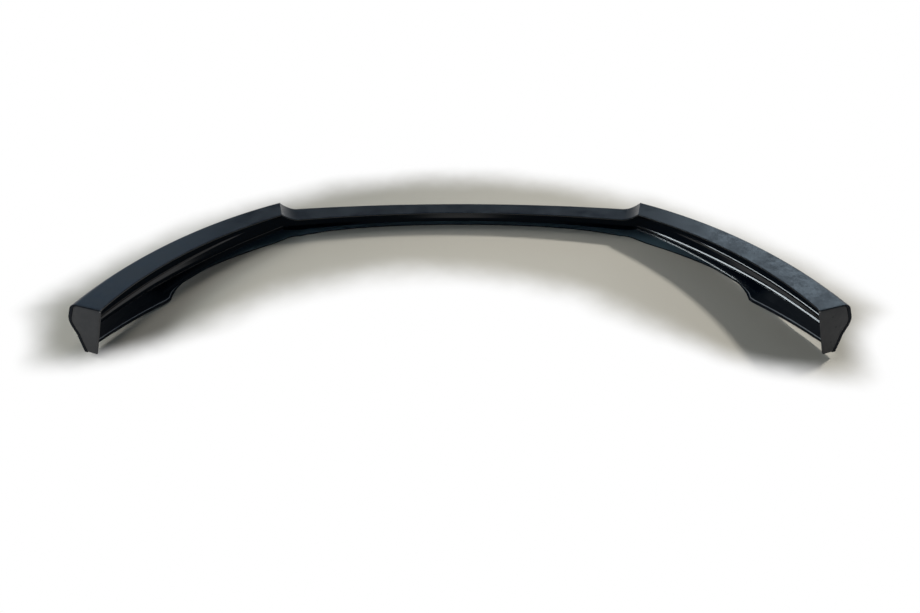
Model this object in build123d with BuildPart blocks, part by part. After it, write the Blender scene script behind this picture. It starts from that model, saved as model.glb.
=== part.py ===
"""Front splitter lip, lying underside up: one moulded shell and two bonded end plates.

The forms are drawn with the flat underside strip level, and depths count down from it. They
are then laid down so that the foot flange is flat on the floor. X is across the car, +Y is
the car's front, sizes are millimetres and angles are degrees.
"""
import os
from math import atan, cos, degrees, radians, sin

from build123d import *

os.makedirs("parts", exist_ok=True)

# Plan of the strip's outer edge, right half
step_top_x = 478.0
step_top_y = 470.0
step_run = 42.0
end_x = 858.0
end_y = 4.0
wing_radius = 890.0
front_bow = 28.0
step_turn = 14.0

# Sheet and underside strip; the centre's strip lies deeper by the step
wall = 4.0
wing_strip = 68.0
end_strip = 73.0
centre_strip = 50.0
foot_strip = 60.0
step_drop = 19.0

# Foot flange: depth of its underside at the front, and its fall towards the ends
front_depth = 68.0
flange_fall = 0.164
end_depth = 135.0

# Skin of the wings: edge of the strip, bulge, ridge, and a crease where the lower wall turns in
edge_end = 8.0
bulge_step = 8.0
bulge_end = 28.5
bulge_depth_step = 22.0
bulge_depth_end = 50.0
ridge_inset = 4.0
ridge_flare = 17.5
ridge_rise_step = 24.0
ridge_rise_end = 8.0
crease_inset = 12.0
crease_flare = 25.0
crease_rise = 9.5
crease_rise_end = 39.0
crease_bow = 6.0

# Skin of the centre
centre_bulge = 5.6
centre_bulge_depth = 13.0
centre_ridge = 1.0
centre_crease = 4.0
foot_crease = 8.0

# Heel and toe of the flange, inward of the strip's outer edge
centre_heel = 8.0
centre_toe = 23.0
foot_heel = 20.0
foot_toe = 43.0
step_toe = 57.0
notch_toe = 49.0
end_toe = -6.0
heel_sag = 1.5

# Trim of the flange along the wing: shares of the wing's length, and insets
taper_share = 0.36
taper_inset = 11.5
corner_share = 0.53
corner_inset = 6.0
notch_share = 0.64
trim_lead = 3.0
trim_past = 8.0

# Rounding on the hollow side of each bend; the outside adds the wall
edge_round = 1.0
end_edge_round = 20.0
bulge_round = 12.0
end_bulge_round = 36.0
crease_round = 8.0
heel_round = 3.0
ridge_round = 14.0

# End plates, set back inside a straight sleeve that is thickened to a rim at the wing's end
end_rim = 8.0
plate_thickness = 5.0
plate_recess = 1.0
plate_foot = 27.0
sleeve_spare = 1.0

front_y = step_top_y + front_bow
end_sleeve = plate_recess + plate_thickness + sleeve_spare
foot_x = step_top_x - step_run
front_edge = ThreePointArc((-foot_x, step_top_y), (0, front_y), (foot_x, step_top_y))
step_edge = Line((foot_x, step_top_y), (step_top_x, step_top_y))
wing_edge = RadiusArc((step_top_x, step_top_y), (end_x, end_y), wing_radius)


def between(start, end, share):
    """Value part of the way from start to end."""
    return start + (end - start) * share


def bed(y):
    """Level of the foot flange's underside at a place along the car."""
    return -front_depth - flange_fall * (front_y - y)


def edge_angle(share):
    """Plan angle of the wing's outer edge, from the car's width."""
    along = wing_edge % share
    return degrees(atan(-along.Y / along.X))


def turn_at(share):
    """Plan angle of a wing section: square to the edge, but swung back near the step."""
    return edge_angle(share) - (edge_angle(0) - step_turn) * (1 - share) ** 4


def bend_rounds(share):
    """Outside radius of each bend; the edge's and the bulge's grow along the wing."""
    edge = between(edge_round, end_edge_round, share**4)
    bulge = between(bulge_round, end_bulge_round, share**2)
    return [wall + edge, wall + bulge, ridge_round, wall + crease_round, wall + heel_round]


def section_plane(spot, turn):
    """Upright plane at a place on the outer edge: its X runs inward and its Y runs up."""
    inward = (-sin(radians(turn)), -cos(radians(turn)), 0)
    along = (-cos(radians(turn)), sin(radians(turn)), 0)
    return Plane(origin=(spot.X, spot.Y, 0), x_dir=inward, z_dir=along)


def wing_spot(share, inset):
    """Plan point a given distance inward of the wing's outer edge."""
    along = wing_edge % share
    return wing_edge @ share + Vector(along.Y, -along.X) * inset


def wing_corners(share):
    """Corners of the wing's outer surface, from the strip's inner edge to the toe."""
    spot = wing_edge @ share
    lean = cos(radians(turn_at(share)))
    near = min(1.0, share / notch_share)
    past = max(0.0, (share - notch_share) / (1 - notch_share))
    toe = between(between(step_toe, notch_toe, near), end_toe, past)
    end_lift = -end_depth - bed(end_y)
    toe_level = bed(spot.Y - toe * lean) + end_lift * share**4
    crease = crease_inset - crease_flare * share**3
    crease_level = between(bed(step_top_y - foot_heel) + crease_rise, crease_rise_end - end_depth, share)
    crease_level = crease_level - 4 * crease_bow * share * (1 - share)
    ridge_level = crease_level + between(ridge_rise_step, ridge_rise_end, share**3)
    bulge_level = -between(bulge_depth_step, bulge_depth_end, share**2)
    heel = between(foot_heel, (crease + toe) / 2, near**2)
    chord_level = between(crease_level, toe_level, (heel - crease) / (toe - crease))
    heel_level = between(bed(spot.Y - heel * lean), chord_level - heel_sag, near**2)
    return [
        (between(wing_strip, end_strip, share**3), 0),
        (-edge_end * share**4, 0),
        (-between(bulge_step, bulge_end, share**2), bulge_level),
        (ridge_inset - ridge_flare * share**3, ridge_level),
        (crease, crease_level),
        (heel, heel_level),
        (toe, toe_level),
    ]


def rim_corners():
    """Corners of the end rim's hollow side: the strip's wall, then the skin moved inward."""
    strip, edge, *skin = wing_corners(1)
    moved = [(inset + end_rim, level) for inset, level in skin]
    return [(strip[0], -wall), (edge[0] + end_rim, -wall), *moved]


def rim_rounds():
    """Radius of each bend on the end rim's hollow side."""
    edge = wall + end_edge_round - end_rim
    bulge = wall + end_bulge_round - end_rim
    return [edge, bulge, ridge_round, crease_round, heel_round]


def centre_corners(share):
    """Corners of the centre's outer surface; share is 0 in the middle and 1 at the step."""
    spot = front_edge @ ((1 + share) / 2)
    heel = between(centre_heel, foot_heel, share**2)
    toe = between(centre_toe, foot_toe, share**4)
    bulge_level = -step_drop - centre_bulge_depth
    crease_level = bed(spot.Y - heel) + crease_rise
    return [
        (between(centre_strip, foot_strip, share**2), -step_drop),
        (0, -step_drop),
        (-centre_bulge, bulge_level),
        (centre_ridge, (bulge_level + crease_level) / 2),
        (between(centre_crease, foot_crease, share**2), crease_level),
        (heel, bed(spot.Y - heel)),
        (toe, bed(spot.Y - toe)),
    ]


def step_corners(share):
    """Corners between the centre's last section and the wing's first, rising ever faster."""
    low = [Vector(corner) for corner in centre_corners(1)]
    high = [Vector(corner) for corner in wing_corners(0)]
    return [between(foot, top, share**2) for foot, top in zip(low, high)]


with BuildPart() as right_form:
    # Step: swept up from the centre's section, level at its foot and creased at its top
    for share in (0, 0.5, 1):
        with BuildSketch(section_plane(step_edge @ share, step_turn)):
            with BuildLine():
                outside = FilletPolyline(*step_corners(share), radius=bend_rounds(0))
                offset(outside, amount=wall, side=Side.LEFT)
            make_face()
    loft()
    # Wing: one smooth loft from the step to the end
    for share in (0, notch_share / 3, notch_share * 2 / 3, notch_share, (1 + notch_share) / 2, 1):
        with BuildSketch(section_plane(wing_edge @ share, turn_at(share))):
            with BuildLine():
                outside = FilletPolyline(*wing_corners(share), radius=bend_rounds(share))
                offset(outside, amount=wall, side=Side.LEFT)
            make_face()
    loft()
    # Straight sleeve at the end, thickened to a rim, where the end plate sits
    with BuildSketch(section_plane(wing_edge @ 1, turn_at(1))):
        with BuildLine():
            outside = FilletPolyline(*wing_corners(1), radius=bend_rounds(1))
            inside = FilletPolyline(*rim_corners(), radius=rim_rounds())
            Line(outside @ 0, inside @ 0)
            Line(outside @ 1, inside @ 1)
        make_face()
    extrude(amount=-end_sleeve)
    # Foot flange trimmed along one curve: a taper that turns into a notch at the deep wall
    with BuildSketch(Plane.XY.offset(bed(end_y))):
        with BuildLine():
            trim = Bezier(
                wing_spot(0, step_toe + trim_lead),
                wing_spot(taper_share, taper_inset),
                wing_spot(corner_share, corner_inset),
                wing_spot(notch_share, notch_toe + trim_past),
            )
            Polyline(
                trim @ 1,
                wing_spot(notch_share, 2 * step_toe),
                wing_spot(0, 2 * step_toe),
                trim @ 0,
            )
        make_face()
    extrude(amount=-bed(end_y) - front_depth + wall, mode=Mode.SUBTRACT)

with BuildPart() as shell_form:
    # Centre: one smooth loft from step foot to step foot
    for place in (-1, -0.55, 0, 0.55, 1):
        with BuildSketch(section_plane(front_edge @ ((1 + place) / 2), step_turn * place)):
            with BuildLine():
                outside = FilletPolyline(*centre_corners(abs(place)), radius=bend_rounds(0))
                offset(outside, amount=wall, side=Side.LEFT)
            make_face()
    loft()
    add(right_form.part)
    mirror(right_form.part, about=Plane.YZ)

with BuildPart() as plate_form:
    # Flat plate filling the end section, its outline the hollow side of the rim
    with BuildSketch(section_plane(wing_edge @ 1, turn_at(1)).offset(plate_recess - end_sleeve)):
        with BuildLine():
            inside = FilletPolyline(*rim_corners(), radius=rim_rounds())
            Polyline(inside @ 1, (plate_foot, -end_depth), inside @ 0)
        make_face()
    extrude(amount=plate_thickness)

# Laid down with the flange level, centred lengthwise, lowest point on the floor
tipped = Location((0, 0, 0), (-degrees(atan(flange_fall)), 0, 0))
span = Compound([shell_form.part.moved(tipped), plate_form.part.moved(tipped)]).bounding_box()
laid = Location((0, -(span.min.Y + span.max.Y) / 2, -span.min.Z)) * tipped

with BuildPart() as lip_shell:
    add(shell_form.part.moved(laid))
lip_shell.part.label = "lip_shell"

with BuildPart() as end_plate_right:
    add(plate_form.part.moved(laid))
end_plate_right.part.label = "end_plate_right"

with BuildPart() as end_plate_left:
    mirror(end_plate_right.part, about=Plane.YZ)
end_plate_left.part.label = "end_plate_left"

export_step(lip_shell.part, "parts/lip_shell.step")
export_step(end_plate_right.part, "parts/end_plate_right.step")
export_step(end_plate_left.part, "parts/end_plate_left.step")
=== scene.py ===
"""Gloss black front lip, lying underside up: its skin, end plates, finishes, light and camera.

Sizes are millimetres until a mesh is made. The forms are drawn with the underside strip level,
depths counting down from it, and are then laid down so that the foot flange is on the floor.
"""
from math import asin, atan, cos, pi, radians, sin

import bpy
import numpy as np
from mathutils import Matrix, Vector


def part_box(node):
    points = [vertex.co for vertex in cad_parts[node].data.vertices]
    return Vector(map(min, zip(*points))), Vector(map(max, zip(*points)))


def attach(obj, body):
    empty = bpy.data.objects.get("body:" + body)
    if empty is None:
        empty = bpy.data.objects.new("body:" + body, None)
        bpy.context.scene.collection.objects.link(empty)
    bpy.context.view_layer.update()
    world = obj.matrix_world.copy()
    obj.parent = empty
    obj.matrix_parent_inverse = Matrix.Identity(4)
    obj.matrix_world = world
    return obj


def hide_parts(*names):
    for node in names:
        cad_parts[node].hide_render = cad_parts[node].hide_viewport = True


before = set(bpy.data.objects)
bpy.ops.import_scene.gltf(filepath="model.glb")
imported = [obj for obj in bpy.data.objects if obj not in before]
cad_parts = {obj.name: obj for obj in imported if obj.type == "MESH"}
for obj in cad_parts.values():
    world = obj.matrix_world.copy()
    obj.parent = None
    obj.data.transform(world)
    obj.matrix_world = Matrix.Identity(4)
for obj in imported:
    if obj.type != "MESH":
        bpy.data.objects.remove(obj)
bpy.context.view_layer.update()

mm = 0.001

# Plan of the strip's outer edge, right half
step_top_x = 478.0
step_top_y = 470.0
step_run = 42.0
end_x = 858.0
end_y = 4.0
wing_radius = 890.0
front_bow = 28.0
step_turn = radians(14.0)
foot_x = step_top_x - step_run
front_y = step_top_y + front_bow

# Sheet and underside strip
wall = 4.0
wing_strip = 68.0
end_strip = 73.0
centre_strip = 50.0
foot_strip = 60.0
step_drop = 19.0

# Foot flange
front_depth = 68.0
flange_fall = 0.164
end_depth = 135.0

# Skin of the wings
edge_end = 8.0
bulge_step = 8.0
bulge_end = 28.5
bulge_depth_step = 22.0
bulge_depth_end = 50.0
ridge_inset = 4.0
ridge_flare = 17.5
ridge_rise_step = 24.0
ridge_rise_end = 8.0
crease_inset = 12.0
crease_flare = 25.0
crease_rise = 9.5
crease_rise_end = 39.0
crease_bow = 6.0

# Skin of the centre
centre_bulge = 5.6
centre_bulge_depth = 13.0
centre_ridge = 1.0
centre_crease = 4.0
foot_crease = 8.0

# Heel and toe of the flange
centre_heel = 8.0
centre_toe = 23.0
foot_heel = 20.0
foot_toe = 43.0
step_toe = 57.0
notch_toe = 49.0
end_toe = -6.0
heel_sag = 1.5

# Trim of the flange along the wing
taper_share = 0.36
taper_inset = 11.5
corner_share = 0.53
corner_inset = 6.0
notch_share = 0.64
trim_lead = 3.0
trim_past = 8.0

# Rounding of the bends, and of the sheet's cut edges
bend_rounds = np.array([5.0, 16.0, 14.0, 12.0, 7.0])
end_edge_round = 24.0
end_bulge_round = 40.0
rim_round = 1.2
crease_angle = radians(26)

# Sampling of the sheet's last stretch: distances from its cut edge, but at most these shares of it
no_limit = 900.0
toe_reaches = np.array([no_limit, no_limit, no_limit, 7.4, 5.8, 4.2, 1.2, 0.0])
toe_shares = np.array([1.0, 0.9, 0.7, 0.5, 0.4, 0.3, 0.1, 0.0])

# Hollow side: beads on the ridge and the crease and a groove at the heel; slopes by share of the wing
bead_halves = (3.2, 4.4, 3.5)
bead_places = (0.0, 0.08, 0.2, 0.35, 0.5, 0.65, 0.8, 0.9, 1.0)
ridge_slopes = (0.0, 0.0, 0.05, 0.194, 0.225, 0.247, 0.271, 0.294, 0.32)
crease_slopes = (0.18, 0.217, 0.236, 0.281, 0.328, 0.372, 0.445, 0.53, 0.62)
heel_slopes = (-0.2, -0.216, -0.181, -0.185, -0.213, 0.0, 0.0, 0.0, 0.0)

# Wear and light: the lower wall and the end's rim are dull, and a painted highlight, a light grey line,
# runs beside the cut edge
heel_dull = 0.1
dull_start = 0.6
dull_end = 0.72
end_dull = 1.25
dull_stations = 3
highlight_start = 0.45
highlight_end = 0.55
highlight_place = 3

# End plates
plate_thickness = 5.0
plate_recess = 1.0
plate_foot = 27.0
plate_gap = 0.3
end_rim = 8.0
rim_lead = 0.3
plate_round = 0.7
sleeve_spare = 1.0
end_sleeve = plate_recess + plate_thickness + sleeve_spare

# Marks on the plates, in metres: a pale spot at the upper inner corner of both, and three pits on the right
# one
pale_corner = (0.7923, -0.255, 0.148)
pits = ((0.8318, -0.2451, 0.122), (0.8482, -0.2446, 0.0896), (0.8466, -0.2519, 0.0481))


def between(start, end, share):
    """Value part of the way from start to end."""
    return start + (end - start) * share


def bed(y):
    """Level of the foot flange's underside at a place along the car."""
    return -front_depth - flange_fall * (front_y - y)


def wing_arc(share):
    """Places on the wing's outer edge and the plan angles of the edge there.

    The edge is a circle's arc through the step's top and the wing's end, so a share of its
    length is a share of its angle.
    """
    start = np.array([step_top_x, step_top_y])
    end = np.array([end_x, end_y])
    chord = end - start
    half = np.linalg.norm(chord) / 2
    inward = np.array([chord[1], -chord[0]]) / (2 * half)
    centre = (start + end) / 2 + inward * np.sqrt(wing_radius**2 - half**2)
    first = np.arctan2(*(start - centre)[::-1])
    last = np.arctan2(*(end - centre)[::-1])
    angle = between(first, last, share)
    spots = centre + wing_radius * np.stack([np.cos(angle), np.sin(angle)], -1)
    return spots, pi / 2 - angle


def wing_turn(share):
    """Plan angle of a wing section: square to the edge, but swung back near the step."""
    first = wing_arc(np.zeros(1))[1]
    return wing_arc(share)[1] - (first - step_turn) * (1 - share) ** 4


def wing_corners(share):
    """Corners of the wing's outer surface, as inset and level, for an array of shares."""
    spots = wing_arc(share)[0]
    lean = np.cos(wing_turn(share))
    near = np.minimum(1, share / notch_share)
    past = np.maximum(0, (share - notch_share) / (1 - notch_share))
    toe = between(between(step_toe, notch_toe, near), end_toe, past)
    end_lift = -end_depth - bed(end_y)
    toe_level = bed(spots[:, 1] - toe * lean) + end_lift * share**4
    crease = crease_inset - crease_flare * share**3
    crease_level = between(bed(step_top_y - foot_heel) + crease_rise, crease_rise_end - end_depth, share)
    crease_level = crease_level - 4 * crease_bow * share * (1 - share)
    ridge_level = crease_level + between(ridge_rise_step, ridge_rise_end, share**3)
    heel = between(foot_heel, (crease + toe) / 2, near**2)
    chord_level = between(crease_level, toe_level, (heel - crease) / (toe - crease))
    heel_level = between(bed(spots[:, 1] - heel * lean), chord_level - heel_sag, near**2)
    zero = np.zeros_like(share)
    insets = [
        between(wing_strip, end_strip, share**3),
        -edge_end * share**4,
        -between(bulge_step, bulge_end, share**2),
        ridge_inset - ridge_flare * share**3,
        crease,
        heel,
        toe,
    ]
    bulge_level = -between(bulge_depth_step, bulge_depth_end, share**2)
    levels = [zero, zero, bulge_level, ridge_level, crease_level, heel_level, toe_level]
    return np.stack([np.stack(insets, -1), np.stack(levels, -1)], -1)


def centre_corners(share):
    """Corners of the centre's outer surface; share is 0 in the middle and 1 at the step."""
    y = centre_arc(share)[:, 1]
    heel = between(centre_heel, foot_heel, share**2)
    toe = between(centre_toe, foot_toe, share**4)
    zero = np.zeros_like(share)
    bulge_level = zero - step_drop - centre_bulge_depth
    crease_level = bed(y - heel) + crease_rise
    insets = [
        between(centre_strip, foot_strip, share**2),
        zero,
        zero - centre_bulge,
        zero + centre_ridge,
        between(centre_crease, foot_crease, share**2),
        heel,
        toe,
    ]
    levels = [
        zero - step_drop,
        zero - step_drop,
        bulge_level,
        (bulge_level + crease_level) / 2,
        crease_level,
        bed(y - heel),
        bed(y - toe),
    ]
    return np.stack([np.stack(insets, -1), np.stack(levels, -1)], -1)


def centre_arc(share):
    """Places on the centre's outer edge, an arc bowed forward, from the middle to the step."""
    radius = (foot_x**2 + front_bow**2) / (2 * front_bow)
    angle = share * asin(foot_x / radius)
    return np.stack([radius * np.sin(angle), front_y - radius + radius * np.cos(angle)], -1)


def flange_trim(shares):
    """Inset at which the flange is cut, for each wing section.

    The cut is one cubic Bezier curve in plan: it leaves the step along the taper and turns
    round the notch's corner. Each of its points is given the share and the inset of the
    section that it lies in, and the sections' own values are read between those.
    """
    def spot(share, inset):
        """Plan point at an inset from the wing's outer edge."""
        edge, angle = wing_arc(np.array([share]))
        return edge[0] - inset * np.array([np.sin(angle[0]), np.cos(angle[0])])

    start = spot(0, step_toe + trim_lead)
    taper = spot(taper_share, taper_inset)
    corner = spot(corner_share, corner_inset)
    end = spot(notch_share, notch_toe + trim_past)
    u = np.linspace(0, 1, 240)[:, None]
    cut = (1 - u) ** 3 * start + 3 * u * (1 - u) ** 2 * taper + 3 * u**2 * (1 - u) * corner + u**3 * end
    fine = np.linspace(0, 0.8, 1600)
    edge = wing_arc(fine)[0]
    turn = wing_turn(fine)
    inward = np.stack([-np.sin(turn), -np.cos(turn)], -1)
    along = np.stack([-np.cos(turn), np.sin(turn)], -1)
    offset = cut[:, None] - edge[None]
    nearest = np.abs((offset * along).sum(-1)).argmin(1)
    rows = np.arange(len(cut))
    insets = (offset * inward).sum(-1)[rows, nearest]
    return np.interp(shares, fine[nearest], insets, right=2 * step_toe)


def rounded_profile(corners, rounds, trim):
    """Line of each section with its bends rounded, its direction, and where its stretches lie.

    A bend of radius r and turn t starts r * tan(t / 2) before its corner and is a circle's arc.
    Straight stretches are sampled closer at their ends, so that bends don't shade them, and the
    last one at set distances from the cut edge, as far as it is long enough.
    """
    arc_steps = np.linspace(0, 1, 9)
    line_counts = (8, 7, 17, 17, 13, len(toe_shares))
    run = np.diff(corners, axis=1)
    length = np.linalg.norm(run, axis=-1, keepdims=True)
    way = run / length
    cross = way[:, :-1, 0] * way[:, 1:, 1] - way[:, :-1, 1] * way[:, 1:, 0]
    turn = np.arctan2(cross, (way[:, :-1] * way[:, 1:]).sum(-1))
    setback = (rounds * np.tan(np.abs(turn) / 2))[..., None]
    before = corners[:, 1:-1] - way[:, :-1] * setback
    after = corners[:, 1:-1] + way[:, 1:] * setback
    last = corners[:, -1]
    spare = (np.minimum(last[:, 0], trim) - after[:, -1, 0]) / way[:, -1, 0]
    last = after[:, -1] + way[:, -1] * np.maximum(spare, 2 * rim_round)[:, None]
    starts = np.concatenate([corners[:, :1] + way[:, :1] * rim_round, after], 1)
    ends = np.concatenate([before, (last - way[:, -1] * rim_round)[:, None]], 1)
    points, ways, stretches = [], [], []
    done = 0
    for k, count in enumerate(line_counts):
        share = ((1 - np.cos(np.linspace(0, pi, count))) / 2)[:, None]
        if k == rounds.shape[1]:
            reach = np.linalg.norm(ends[:, k] - starts[:, k], axis=-1)[:, None]
            share = 1 - np.minimum(toe_reaches / reach, toe_shares)[..., None]
        points.append(between(starts[:, k, None], ends[:, k, None], share))
        ways.append(np.repeat(way[:, k, None], count, 1))
        stretches.append((done, done + count - 1))
        done = done + count
        if k < rounds.shape[1]:
            angle = turn[:, k, None] * arc_steps[1:-1]
            radius = (np.sign(turn) * rounds)[:, k, None, None]
            c, s = np.cos(angle), np.sin(angle)
            x, y = way[:, k, 0, None], way[:, k, 1, None]
            ways.append(np.stack([x * c - y * s, x * s + y * c], -1))
            left = np.stack([-way[:, k, 1], way[:, k, 0]], -1)
            hub = before[:, k, None] + left[:, None] * radius
            turned = np.stack([-ways[-1][..., 1], ways[-1][..., 0]], -1)
            points.append(hub - turned * radius)
            done = done + len(arc_steps) - 2
    return np.concatenate(points, 1), np.concatenate(ways, 1), stretches


def bead(travel, start, slope, half):
    """Height of a raised bead whose crest is at a bend's start; a slope below 0 makes a groove.

    Its upper face is nearly straight, rising at the slope and a little steeper at its foot, and
    its lower face falls back evenly over the same width.
    """
    along = (travel - travel[:, start, None]) / half
    rise = np.clip(1 + along, 0, 1)
    rise = rise + 0.03 * rise * (1 - rise)
    fall = np.clip(along, 0, 1)
    return half * slope[:, None] * np.where(along < 0, rise, 1 - fall)


def sheet_sections(corners, rounds, trim, slopes):
    """Closed section of the sheet at each station, as inset and level.

    The hollow side is the outer line moved by the wall along its normal, plus the beads. Both
    cut edges are rounded by quarter circles. Then come the counts of points across the sheet and
    round a cut edge, and where the lower wall starts.
    """
    outer, way, stretches = rounded_profile(corners, rounds, trim)
    normal = np.stack([-way[..., 1], way[..., 0]], -1)
    step = np.linalg.norm(np.diff(outer, axis=1), axis=-1)
    travel = np.concatenate([np.zeros((len(outer), 1)), np.cumsum(step, 1)], 1)
    raised = 0
    for stretch, slope, half in zip(stretches[2:5], slopes, bead_halves):
        raised = raised + bead(travel, stretch[1], slope, half)
    inner = outer + normal * (wall + raised)[..., None]
    angle = np.linspace(0, pi / 2, 5)[1:, None]

    def rim(edge, out, across):
        """Quarter circles from one face, round the cut edge, to the other face."""
        near = edge + across * rim_round
        far = edge + across * (wall - rim_round)
        first = near + rim_round * (out * np.sin(angle) - across * np.cos(angle))
        second = far + rim_round * (out * np.cos(angle) + across * np.sin(angle))
        return np.concatenate([first, far + rim_round * out, second[:, :-1]], 1)

    toe_rim = rim(outer[:, -1:], way[:, -1:], normal[:, -1:])
    strip_rim = rim(outer[:, :1], -way[:, :1], normal[:, :1])[:, ::-1]
    loop = np.concatenate([outer, toe_rim, inner[:, ::-1], strip_rim], 1)
    return loop, outer.shape[1], toe_rim.shape[1], stretches[4][0]


def end_frame(corners, outer, rim):
    """Section of the sleeve at the wing's end: the outer line, and a rim that holds the plate.

    The rim's hollow side is the outer line's corners moved inward by end_rim, or down by the
    wall along the strip, with smaller bends. Its cut edges are straight.
    """
    inward = corners + np.array([end_rim, 0])
    inward[:2, 1] = -wall
    inward[0, 0] = corners[0, 0]
    rounds = bend_rounds - wall
    rounds[:3] = [end_edge_round - end_rim, end_bulge_round - end_rim, bend_rounds[2]]
    inner = rounded_profile(inward[None], rounds[None], np.array([2 * step_toe]))[0][0]
    share = np.linspace(0, 1, rim)[:, None]
    toe_way = (outer[-1] - outer[-2]) / np.linalg.norm(outer[-1] - outer[-2]) * rim_round
    strip_way = np.array([rim_round, 0])
    toe_edge = between(outer[-1], inner[-1], share) + toe_way
    strip_edge = between(inner[0], outer[0], share) + strip_way
    loop = np.concatenate([outer, toe_edge, inner[::-1], strip_edge])
    middle = (outer + inner) / 2
    toe_middle = np.repeat(middle[-1:], rim, 0)
    strip_middle = np.repeat(middle[:1], rim, 0)
    core = np.concatenate([middle, toe_middle, middle[::-1], strip_middle])
    return loop, core, inner


def stand_up(section, spots, turn):
    """Sections in their upright planes: inset runs inward from the spot, level is height."""
    inward = np.stack([-np.sin(turn), -np.cos(turn)], -1)
    plan = spots[:, None] + inward[:, None] * section[..., :1]
    return np.concatenate([plan, section[..., 1:]], -1)


def right_half():
    """Stations of the right half of the shell, from the middle to the end of the wing.

    The centre and the step blend their corners by the square of the share, so that the step is
    level at its foot and creased at its top. The wing's own formula carries on to the end, where
    a straight sleeve holds the end plate. Stations are closer at the step and round the notch.
    """
    middle = np.linspace(0, 1, 26)[:-1]
    rise = np.concatenate([np.linspace(0, 0.94, 14), [0.975, 0.992]])
    wing = np.concatenate([[0, 0.003, 0.012], np.linspace(0.03, 0.4, 34)])
    wing = np.concatenate([wing, np.linspace(0.405, 0.66, 64), np.linspace(0.67, 1, 34)])
    low = centre_corners(np.ones(1))
    high = wing_corners(np.zeros(1))
    corners = np.concatenate([
        centre_corners(middle),
        between(low, high, (rise**2)[:, None, None]),
        wing_corners(wing),
    ])
    step_spots = np.stack([between(foot_x, step_top_x, rise), 0 * rise + step_top_y], -1)
    spots = np.concatenate([centre_arc(middle), step_spots, wing_arc(wing)[0]])
    turn = np.concatenate([step_turn * middle, 0 * rise + step_turn, wing_turn(wing)])
    whole = np.full(len(middle) + len(rise), 2 * step_toe)
    trim = np.concatenate([whole, flange_trim(wing)])
    slopes = [
        np.concatenate([0 * whole, np.interp(wing, bead_places, wing_slopes)])
        for wing_slopes in (ridge_slopes, crease_slopes, heel_slopes)
    ]
    rounds = np.tile(bend_rounds, (len(corners), 1))
    rounds[len(whole):, 0] = between(bend_rounds[0], end_edge_round, wing**4)
    rounds[len(whole):, 1] = between(bend_rounds[1], end_bulge_round, wing**2)
    loop, across, rim, lower = sheet_sections(corners, rounds, trim, slopes)
    solid = stand_up(loop, spots, turn)
    frame_loop, frame_core, outline = end_frame(corners[-1], loop[-1, :across], rim)
    frame_solid = stand_up(frame_loop[None], spots[-1:], turn[-1:])[0]
    frame_spine = stand_up(frame_core[None], spots[-1:], turn[-1:])[0]
    to_spine = frame_spine - frame_solid
    to_spine = to_spine / np.linalg.norm(to_spine, axis=-1, keepdims=True)
    outward = np.array([cos(turn[-1]), -sin(turn[-1]), 0])
    quarter = np.linspace(0, pi / 2, 5)
    ahead = end_sleeve - rim_round + rim_round * np.sin(quarter)
    thinner = rim_round * (1 - np.cos(quarter))
    sleeve = frame_solid + to_spine * thinner[:, None, None] + outward * ahead[:, None, None]
    stations = np.concatenate([solid, frame_solid[None] + outward * rim_lead, sleeve])
    dull = np.zeros(stations.shape[:2])
    mark_weight = np.clip((wing - dull_start) / (dull_end - dull_start), heel_dull, 1)
    dull[len(whole):len(solid), across + rim:2 * across + rim - lower] = mark_weight[:, None]
    dull[-dull_stations:] = end_dull
    # a light grey line painted on the hollow side beside the cut edge, as a highlight
    edge_highlight = np.zeros(stations.shape[:2])
    highlight_shares = np.clip((wing - highlight_start) / (highlight_end - highlight_start), 0, 1)
    edge_highlight[len(whole):len(solid), across + rim + highlight_place] = highlight_shares
    return stations, (dull, edge_highlight), across, rim, outline, spots[-1], turn[-1], outward


def laid_down(points, shift):
    """Points tipped back by the flange's fall, then moved to rest on the floor."""
    tip = atan(flange_fall)
    x, y, z = np.moveaxis(points, -1, 0)
    tipped = np.stack([x, y * cos(tip) + z * sin(tip), z * cos(tip) - y * sin(tip)], -1)
    return tipped + shift


def mesh_piece(name, points, faces, material, node):
    """Smooth mesh from points in millimetres, standing for a CAD node."""
    mesh = bpy.data.meshes.new(name)
    mesh.from_pydata((points.reshape(-1, 3) * mm).tolist(), [], faces)
    mesh.shade_smooth()
    mesh.set_sharp_from_angle(angle=crease_angle)
    mesh.validate()
    piece = bpy.data.objects.new(name, mesh)
    bpy.context.scene.collection.objects.link(piece)
    piece.data.materials.append(material)
    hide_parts(node)
    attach(piece, "root")
    return piece


def tube_faces(stations, around):
    """Quads of a closed tube, station by station."""
    i, j = np.meshgrid(np.arange(stations - 1), np.arange(around), indexing="ij")
    k = (j + 1) % around
    quads = np.stack([i * around + j, i * around + k, (i + 1) * around + k, (i + 1) * around + j], -1)
    return quads.reshape(-1, 4).tolist()


def sheet_end_faces(first, across, rim, around):
    """Faces that close the sheet's section: a ladder across the wall, and its two rims."""
    rungs = np.arange(across - 1)
    back = 2 * across + rim - 1 - rungs
    ladder = np.stack([rungs, rungs + 1, back - 1, back], -1) + first
    toe = list(range(first + across - 1, first + across + rim + 1))
    strip = list(range(first + 2 * across + rim - 1, first + around)) + [first]
    return ladder.tolist() + [toe, strip]


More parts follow.
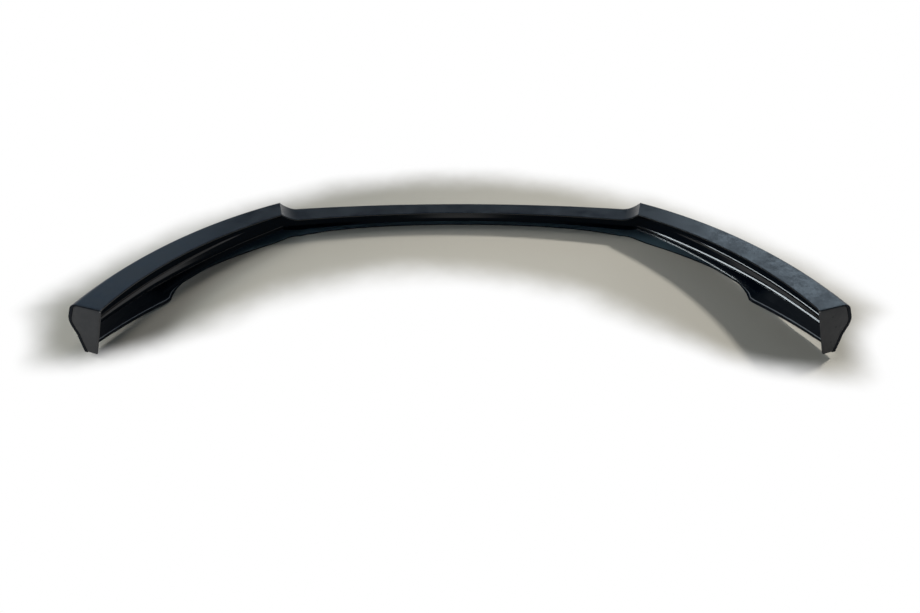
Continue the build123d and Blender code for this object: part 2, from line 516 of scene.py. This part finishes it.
def make_shell(material):
    """Whole shell: the right half, and its mirror image before it, as one closed tube."""
    right, marks, across, rim, outline, spot, turn, outward = right_half()
    left = right[:0:-1] * np.array([-1, 1, 1])
    tube = np.concatenate([left, right])
    flat = laid_down(tube, 0)
    low = flat.reshape(-1, 3).min(0)
    high = flat.reshape(-1, 3).max(0)
    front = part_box("lip_shell")[1].y / mm
    shift = np.array([0, front - high[1], -low[2]])
    stations, around = tube.shape[:2]
    walls = [face[::-1] for face in tube_faces(stations, around)]
    ends = [face[::-1] for face in sheet_end_faces((stations - 1) * around, across, rim, around)]
    starts = sheet_end_faces(0, across, rim, around)
    faces = walls + ends + starts
    skin = mesh_piece("lip_skin", laid_down(tube, shift), faces, material, "lip_shell")
    # the second attribute marks the painted highlight line beside the cut edge
    for word, mark in zip(("dull", "edge_highlight"), marks):
        values = np.concatenate([mark[:0:-1], mark]).ravel()
        skin.data.attributes.new(word, "FLOAT", "POINT").data.foreach_set("value", values)
    return shift, outline, spot, turn, outward


def make_plate(side, shift, outline, spot, turn, outward, material):
    """Flat end plate with softened edges, filling the hollow side of the end section.

    Its outline is drawn in by a small amount at both faces, along a quarter circle.
    """
    foot = np.array([[plate_foot, -end_depth]])
    closing = between(foot, outline[:1], np.linspace(0, 1, 12)[:-1, None])
    sole = between(outline[-1:], foot, np.linspace(0, 1, 6)[1:-1, None])
    line = np.concatenate([outline, sole, closing])
    ahead = np.roll(line, -1, 0) - line
    ahead = ahead / np.linalg.norm(ahead, axis=1, keepdims=True)
    mean = ahead + np.roll(ahead, 1, 0)
    mean = mean / np.linalg.norm(mean, axis=1, keepdims=True)
    inward = np.stack([-mean[:, 1], mean[:, 0]], -1)
    quarter = np.linspace(0, pi / 2, 5)
    drawn = plate_gap + plate_round * (1 - np.sin(quarter))
    drawn = np.concatenate([drawn, drawn[::-1]])
    lift = plate_round * (1 - np.cos(quarter))
    height = np.concatenate([lift, plate_thickness - lift[::-1]])
    rings = line + inward * drawn[:, None, None]
    solid = stand_up(rings, np.repeat(spot[None], len(rings), 0), np.full(len(rings), turn))
    solid = solid + outward * (end_sleeve - plate_recess - plate_thickness + height)[:, None, None]
    solid = laid_down(solid, shift) * np.array([side, 1, 1])
    rings_count, around = solid.shape[:2]
    faces = tube_faces(rings_count, around)
    faces.append(list(range(around))[::-1])
    faces.append(list(range((rings_count - 1) * around, rings_count * around)))
    if side > 0:
        faces = [face[::-1] for face in faces]
    word = "right" if side > 0 else "left"
    mesh_piece(f"end_cap_{word}", solid, faces, material, f"end_plate_{word}")


class Wire:
    """A node's output that takes part in arithmetic: each operation adds a Math node."""

    def __init__(self, tree, socket):
        self.tree = tree
        self.socket = socket

    def node(self, kind, settings, sockets, output=0):
        """Adds a node: its settings come first, then the values or links of its sockets."""
        return Wire(self.tree, add_node(self.tree, kind, settings, sockets).outputs[output])

    def math(self, operation, first, second):
        """Math node on two values."""
        return self.node("ShaderNodeMath", {"operation": operation}, {0: first, 1: second})

    def __add__(self, other):
        return self.math("ADD", self, other)

    def __sub__(self, other):
        return self.math("SUBTRACT", self, other)

    def __rsub__(self, other):
        return self.math("SUBTRACT", other, self)

    def __mul__(self, other):
        return self.math("MULTIPLY", self, other)

    def __pow__(self, other):
        return self.math("POWER", self, other)

    __radd__ = __add__
    __rmul__ = __mul__

    def larger(self, other):
        """The larger of this value and another."""
        return self.math("MAXIMUM", self, other)

    def smaller(self, other):
        """The smaller of this value and another."""
        return self.math("MINIMUM", self, other)

    def size(self):
        """This value without its sign."""
        return self.math("ABSOLUTE", self, 0.0)

    def ramp(self, low, high):
        """Smooth change from 0 to 1 as this value goes from low to high."""
        settings = {"interpolation_type": "SMOOTHSTEP"}
        return self.node("ShaderNodeMapRange", settings, {"Value": self, "From Min": low, "From Max": high})

    def mix(self, first, second):
        """Colour between first and second, by this value."""
        return self.node("ShaderNodeMix", {"data_type": "RGBA"}, {0: self, 6: first, 7: second}, 2)

    def noise(self, scale, detail=3.0, roughness=0.55):
        """Cloudy noise on this position, about 0.5 in the mean."""
        sockets = {"Vector": self, "Scale": scale, "Detail": detail, "Roughness": roughness}
        return self.node("ShaderNodeTexNoise", {"noise_dimensions": "3D"}, sockets)

    def stretched(self, scale):
        """This position with each axis scaled."""
        return self.node("ShaderNodeMapping", {}, {"Vector": self, "Scale": scale})

    def axis(self, index):
        """One axis of this vector."""
        return self.node("ShaderNodeSeparateXYZ", {}, {0: self}, index)

    def away_from(self, place):
        """Distance of this position from a place."""
        return self.node("ShaderNodeVectorMath", {"operation": "DISTANCE"}, {0: self, 1: place}, 1)


def add_node(tree, kind, settings, sockets):
    """Node of a kind, with its settings, and with values or wires on its sockets."""
    node = tree.nodes.new(kind)
    for name, value in settings.items():
        setattr(node, name, value)
    for name, value in sockets.items():
        if isinstance(value, Wire):
            tree.links.new(value.socket, node.inputs[name])
        else:
            node.inputs[name].default_value = value
    return node


def new_finish(name):
    """Material with an empty tree, its output, and the object's position and normal."""
    material = bpy.data.materials.new(name)
    material.use_nodes = True
    tree = material.node_tree
    tree.nodes.clear()
    place = add_node(tree, "ShaderNodeTexCoord", {}, {})
    output = add_node(tree, "ShaderNodeOutputMaterial", {}, {})
    position = Wire(tree, place.outputs["Object"])
    return material, tree, output, position, Wire(tree, place.outputs["Normal"])


def bumped(height, strength, distance):
    """Normal roughened by a height."""
    return height.node("ShaderNodeBump", {}, {"Height": height, "Strength": strength, "Distance": distance})


def plastic(tree, output, sockets):
    """Principled shader joined to the output."""
    shader = add_node(tree, "ShaderNodeBsdfPrincipled", {}, sockets)
    tree.links.new(shader.outputs[0], output.inputs["Surface"])


# Colours of the finishes
bare_black = (0.0006, 0.003, 0.0075, 1)
film_grey = (0.025, 0.032, 0.04, 1)
# foot flange: dust, with a painted bluish sheen
foot_dust_and_sheen = (0.07, 0.11, 0.135, 1)
# light grey of the painted highlight line beside the cut edge
highlight_grey = (0.4, 0.43, 0.47, 1)
plate_dark = (0.046, 0.046, 0.05, 1)
plate_light = (0.066, 0.066, 0.068, 1)
pit_black = (0.01, 0.01, 0.01, 1)
# pale grey of the spot at the plates' upper inner corner
pale_grey = (0.5, 0.5, 0.5, 1)
white = (1, 1, 1, 1)

# Roughness of the gloss, and what the strip, its film and the dull places add to it
gloss_rough = 0.1
strip_rough = 0.16
film_rough = 0.3
dull_rough = 0.65


def gloss_black():
    """Black moulded plastic: glossy walls, and a thin dusty film where it faces up.

    The film is thicker on the foot flange, where its blue is a painted sheen, and it thins out towards
    the notches. The skin's own attributes say where it is dull and where a painted highlight line runs
    beside the cut edge.
    """
    material, tree, output, place, normal = new_finish("gloss_black_plastic")
    level = place.axis(2) + flange_fall * place.axis(1)
    strip = normal.axis(2).ramp(0.6, 0.85) * level.ramp(0.08, 0.09)
    facing_up = strip.larger(normal.axis(2).ramp(0.86, 0.98))
    smudges = place.noise(21.0, 4.0, 0.65).ramp(0.42, 0.64)
    wipes = place.stretched((3.0, 9.0, 9.0)).noise(6.0, 3.0, 0.6).ramp(0.4, 0.7)
    dust = place.noise(130.0, 4.0, 0.7).ramp(0.42, 0.62)
    film = facing_up * (0.05 + 0.4 * smudges + 0.25 * wipes + 0.3 * dust)
    # the foot flange's film is dust with a painted bluish sheen, thinning towards the notches
    foot = facing_up * place.axis(2).ramp(0.02, 0.008) * place.axis(1).ramp(0.0, 0.16)
    dull = place.node("ShaderNodeAttribute", {"attribute_name": "dull"}, {}, 2)
    edge_highlight = place.node("ShaderNodeAttribute", {"attribute_name": "edge_highlight"}, {}, 2)
    bare = film.mix(bare_black, film_grey)
    dust_and_sheen = foot.mix(bare, foot_dust_and_sheen)
    # the light grey line beside the cut edge is a painted highlight
    colour = edge_highlight.mix(dust_and_sheen, highlight_grey)
    rough = gloss_rough + strip_rough * facing_up + film_rough * film + dull_rough * dull
    ripple = facing_up * place.noise(18.0, 2.0, 0.5) + 0.02 * place.noise(520.0, 1.0, 0.5)
    plastic(tree, output, {
        "Base Color": colour,
        "Roughness": rough,
        "Normal": bumped(ripple, 0.03, 0.0012),
        "IOR": 1.42,
    })
    return material


def matte_grey():
    """Matte dark grey plastic with a fine grain, faint stains, pits, and a pale spot at the upper inner
    corner.
    """
    material, tree, output, place, _ = new_finish("matte_grey_plastic")
    grain = place.noise(900.0, 2.0, 0.6)
    stains = place.noise(26.0, 3.0, 0.6).ramp(0.35, 0.7)
    plain = (0.65 * stains + 0.35 * grain).mix(plate_dark, plate_light)
    across = place.axis(0).size()
    mirrored = place.node("ShaderNodeCombineXYZ", {}, {0: across, 1: place.axis(1), 2: place.axis(2)})
    # a pale spot at the upper inner corner
    mark_weight = mirrored.away_from(pale_corner).ramp(0.0045, 0.0015)
    off_pits = [place.away_from(pit) for pit in pits]
    off_pit = off_pits[0].smaller(off_pits[1]).smaller(off_pits[2])
    colour = off_pit.ramp(0.0012, 0.0026).mix(pit_black, mark_weight.mix(plain, pale_grey))
    plastic(tree, output, {
        "Base Color": colour,
        "Roughness": 0.62 + 0.12 * grain,
        "Normal": bumped(grain, 0.3, 0.0004),
        "IOR": 1.45,
    })
    return material


# Floor: a pale grey patch round the lip that fades to white; it follows a ring along the lip's bow
ring_radius = 1.03
ring_middle = (-0.05, -0.79, 0.0)
ring_end = -0.14
narrow_start = -0.08
narrow_end = -0.25
patch_plain = 0.13
patch_end = 0.27
end_weight = 1.7
raggedness = 0.05
patch_lean = 0.03
floor_half = 6.0
floor_colour = (0.485, 0.457, 0.4, 1)


def pale_floor():
    """Pale floor that keeps its shadows near the lip and is plain white further off.

    The fade goes by the distance from an arc: off the ring to each side, which counts up to
    double outside it near the ends, and past its ends. It is a little ragged.
    """
    material, tree, output, place, _ = new_finish("pale_floor")
    off_ring = place.away_from(ring_middle) - ring_radius
    off_ring = off_ring + off_ring.larger(0.0) * place.axis(1).ramp(narrow_start, narrow_end)
    past_end = (ring_end - place.axis(1)).larger(0.0)
    ragged = raggedness * (place.noise(5.0, 3.0, 0.6) - 0.5)
    off_arc = (off_ring * off_ring + end_weight * past_end * past_end) ** 0.5
    fade = (off_arc + ragged - patch_lean * place.axis(0)).ramp(patch_plain, patch_end)
    path = add_node(tree, "ShaderNodeLightPath", {}, {})
    seen = Wire(tree, path.outputs["Is Camera Ray"]) + Wire(tree, path.outputs["Is Glossy Ray"])
    seen = seen + Wire(tree, path.outputs["Is Transmission Ray"])
    matte = add_node(tree, "ShaderNodeBsdfDiffuse", {}, {"Color": floor_colour})
    plain = add_node(tree, "ShaderNodeEmission", {}, {"Color": white, "Strength": 1.0})
    blend = add_node(tree, "ShaderNodeMixShader", {}, {
        0: fade * seen,
        1: Wire(tree, matte.outputs[0]),
        2: Wire(tree, plain.outputs[0]),
    })
    tree.links.new(blend.outputs[0], output.inputs["Surface"])
    return material


def make_floor():
    """Large flat floor under the lip."""
    corners = [(-1, -1, 0), (1, -1, 0), (1, 1, 0), (-1, 1, 0)]
    mesh = bpy.data.meshes.new("floor")
    mesh.from_pydata((np.array(corners) * floor_half).tolist(), [], [(0, 1, 2, 3)])
    floor = bpy.data.objects.new("floor", mesh)
    floor.data.materials.append(pale_floor())
    bpy.context.scene.collection.objects.link(floor)


def place_lamp(name, kind, spot, target, **settings):
    """Lamp at a spot, facing a target; the tube and the panels show in reflections."""
    lamp = bpy.data.objects.new(name, bpy.data.lights.new(name, kind))
    for key, value in settings.items():
        setattr(lamp.data, key, value)
    lamp.location = spot
    lamp.rotation_euler = (Vector(target) - Vector(spot)).to_track_quat("-Z", "Y").to_euler()
    lamp.visible_glossy = kind == "AREA"
    bpy.context.scene.collection.objects.link(lamp)


def off_from(target, azimuth, elevation, distance):
    """Spot at a distance from a target; azimuth turns from +Y towards +X."""
    turn, rise = radians(azimuth), radians(elevation)
    way = np.array([sin(turn) * cos(rise), cos(turn) * cos(rise), sin(rise)])
    return np.array(target) + distance * way


def light_scene():
    """A firm lamp for the right wing, soft ones for the left wing and the bay, a tube and two panels."""
    right_wing = (0.62, 0.0, 0.05)
    left_wing = (-0.62, 0.0, 0.05)
    left_bay = (-0.5, 0.05, 0.0)
    place_lamp(
        "right_lamp", "SPOT", off_from(right_wing, 55, 48, 4.0), (0.74, 0.0, 0.05),
        energy=510, spot_size=radians(31), spot_blend=0.9, shadow_soft_size=0.22, color=(1, 0.98, 0.94),
    )
    place_lamp(
        "left_lamp", "SPOT", off_from(left_wing, -80, 50, 4.0), left_wing,
        energy=490, spot_size=radians(32), spot_blend=0.9, shadow_soft_size=1.4, color=(1, 0.99, 0.96),
    )
    place_lamp(
        "bay_lamp", "SPOT", off_from(left_bay, 40, 55, 4.0), left_bay,
        energy=240, spot_size=radians(20), spot_blend=1.0, shadow_soft_size=0.6, color=(1, 0.98, 0.94),
    )
    place_lamp(
        "side_tube", "AREA", (-1.6, -0.48, 1.7), (0.7, -0.48, 0.08),
        energy=15, shape="RECTANGLE", size=1.6, size_y=0.11, color=(0.86, 0.95, 1),
    )
    place_lamp(
        "right_panel", "AREA", (2.0, 2.6, 1.4), (0.75, -0.05, 0.1),
        energy=17, shape="RECTANGLE", size=1.6, size_y=1.0, color=(0.7, 0.86, 1),
    )
    place_lamp(
        "left_panel", "AREA", (-1.95, 2.5, 1.25), (-0.7, 0.0, 0.1),
        energy=3.2, shape="RECTANGLE", size=1.2, size_y=1.0, color=(0.5, 0.72, 1),
    )


# Sky: its dim colour, and the heights between which reflections lose the white surround
sky_colour = (0.62, 0.82, 1.0, 1)
sky_strength = 0.085
horizon_white = 0.07
horizon_end = 0.1


def make_sky():
    """Dim sky that is white to the camera, and to reflections just over the horizon."""
    world = bpy.data.worlds.new("sky")
    world.use_nodes = True
    tree = world.node_tree
    tree.nodes.clear()
    path = add_node(tree, "ShaderNodeLightPath", {}, {})
    way = add_node(tree, "ShaderNodeTexCoord", {}, {})
    near_horizon = Wire(tree, way.outputs["Generated"]).axis(2).ramp(horizon_end, horizon_white)
    mirrored = Wire(tree, path.outputs["Is Glossy Ray"]) + Wire(tree, path.outputs["Is Transmission Ray"])
    seen = Wire(tree, path.outputs["Is Camera Ray"]) + mirrored * near_horizon
    sky = add_node(tree, "ShaderNodeBackground", {}, {"Color": sky_colour, "Strength": sky_strength})
    plain = add_node(tree, "ShaderNodeBackground", {}, {"Color": white, "Strength": 1.0})
    blend = add_node(tree, "ShaderNodeMixShader", {}, {
        0: seen,
        1: Wire(tree, sky.outputs[0]),
        2: Wire(tree, plain.outputs[0]),
    })
    add_node(tree, "ShaderNodeOutputWorld", {}, {"Surface": Wire(tree, blend.outputs[0])})
    bpy.context.scene.world = world


# Camera: its place, its tilt below the level, and its focal length in pixels of the image
camera_spot = (0, -1.6649, 1.5409)
camera_tilt = 44.314
focal_pixels = 900
image_width = 920


def place_camera():
    """Camera in front of the bay, looking along +Y and down on the lip."""
    camera = bpy.data.objects.new("camera", bpy.data.cameras.new("camera"))
    camera.location = camera_spot
    camera.rotation_euler = (radians(90 - camera_tilt), 0, 0)
    camera.data.sensor_width = 36.0
    camera.data.lens = focal_pixels / image_width * camera.data.sensor_width
    bpy.context.scene.collection.objects.link(camera)
    bpy.context.scene.camera = camera


black = gloss_black()
grey = matte_grey()
end_section = make_shell(black)
for side in (-1, 1):
    make_plate(side, *end_section, grey)
make_floor()
light_scene()
make_sky()
place_camera()
bpy.context.scene.view_settings.view_transform = "Standard"
